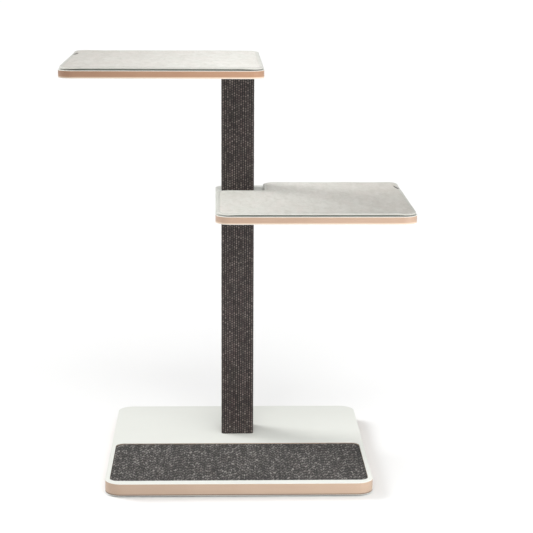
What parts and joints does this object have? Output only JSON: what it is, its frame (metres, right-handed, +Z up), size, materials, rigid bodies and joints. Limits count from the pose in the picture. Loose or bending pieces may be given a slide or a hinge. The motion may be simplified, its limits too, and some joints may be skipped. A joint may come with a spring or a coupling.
{
  "type": "cat tree",
  "caption": "Free-standing cat tree: square laminated base with an inlaid scratch pad, a sisal-covered square post and shelves reaching to either side, each with a loose mat.",
  "frame": {"origin": "on the floor, under the centre of the base; the shelves reach equally far to the left and right of it", "axes": "+Z up along the post, +X towards the side of the middle shelf, -Y towards the front, where the scratch pad is"},
  "size_m": [0.775, 0.6, 0.952],
  "materials": {
    "plywood": "clear matt lacquer on the edge of birch plywood",
    "white_laminate": "fine matt high-pressure laminate",
    "sisal_weave": "dark charcoal brown ribbed sisal weave",
    "carpet_weave": "dark grey heathered flat-woven carpet",
    "pad_rubber": "fine-textured non-slip rubber",
    "mat_fabric": "light grey-beige brushed suede-like fabric",
    "grip_rubber": "dark dimpled foam rubber",
    "pine": "planed softwood",
    "beech": "ribbed beech dowel",
    "zinc_steel": "bright zinc plate",
    "insert_brass": "yellow passivated",
    "glide_plastic": "black moulded polypropylene",
    "glide_felt": "pressed wool felt"
  },
  "bodies": {
    "frame": {"base_core": "plywood", "base_top_laminate": "white_laminate", "base_bottom_laminate": "white_laminate", "lower_post_core": "pine", "upper_post_core": "pine", "lower_sisal_sleeve": "sisal_weave", "upper_sisal_sleeve": "sisal_weave", "lower_post_foot_inserts": "insert_brass", "lower_post_head_inserts": "insert_brass", "upper_post_foot_inserts": "insert_brass", "upper_post_head_inserts": "insert_brass", "base_bolts": "zinc_steel", "base_washers": "zinc_steel", "mid_studs": "zinc_steel", "mid_dowels": "beech", "top_shelf_bolts": "zinc_steel", "mid_shelf_core": "plywood", "mid_shelf_top_laminate": "white_laminate", "mid_shelf_bottom_laminate": "white_laminate", "top_shelf_core": "plywood", "top_shelf_top_laminate": "white_laminate", "top_shelf_bottom_laminate": "white_laminate", "glide_felts": "glide_felt", "glide_cups": "glide_plastic", "glide_screws": "zinc_steel"},
    "scratch_pad": {"scratch_pad_pile": "carpet_weave", "scratch_pad_backing": "pad_rubber"},
    "mid_mat": {"mid_mat": "mat_fabric", "mid_mat_grip": "grip_rubber"},
    "top_mat": {"top_mat": "mat_fabric", "top_mat_grip": "grip_rubber"}
  },
  "joints": [
    {"name": "scratch_pad_lift", "type": "slide", "parent": "frame", "child": "scratch_pad", "axis": [0, 0, 1], "range_m": [0, 0.12]},
    {"name": "mid_mat_lift", "type": "slide", "parent": "frame", "child": "mid_mat", "axis": [0, 0, 1], "range_m": [0, 0.15]},
    {"name": "top_mat_lift", "type": "slide", "parent": "frame", "child": "top_mat", "axis": [0, 0, 1], "range_m": [0, 0.15]}
  ]
}
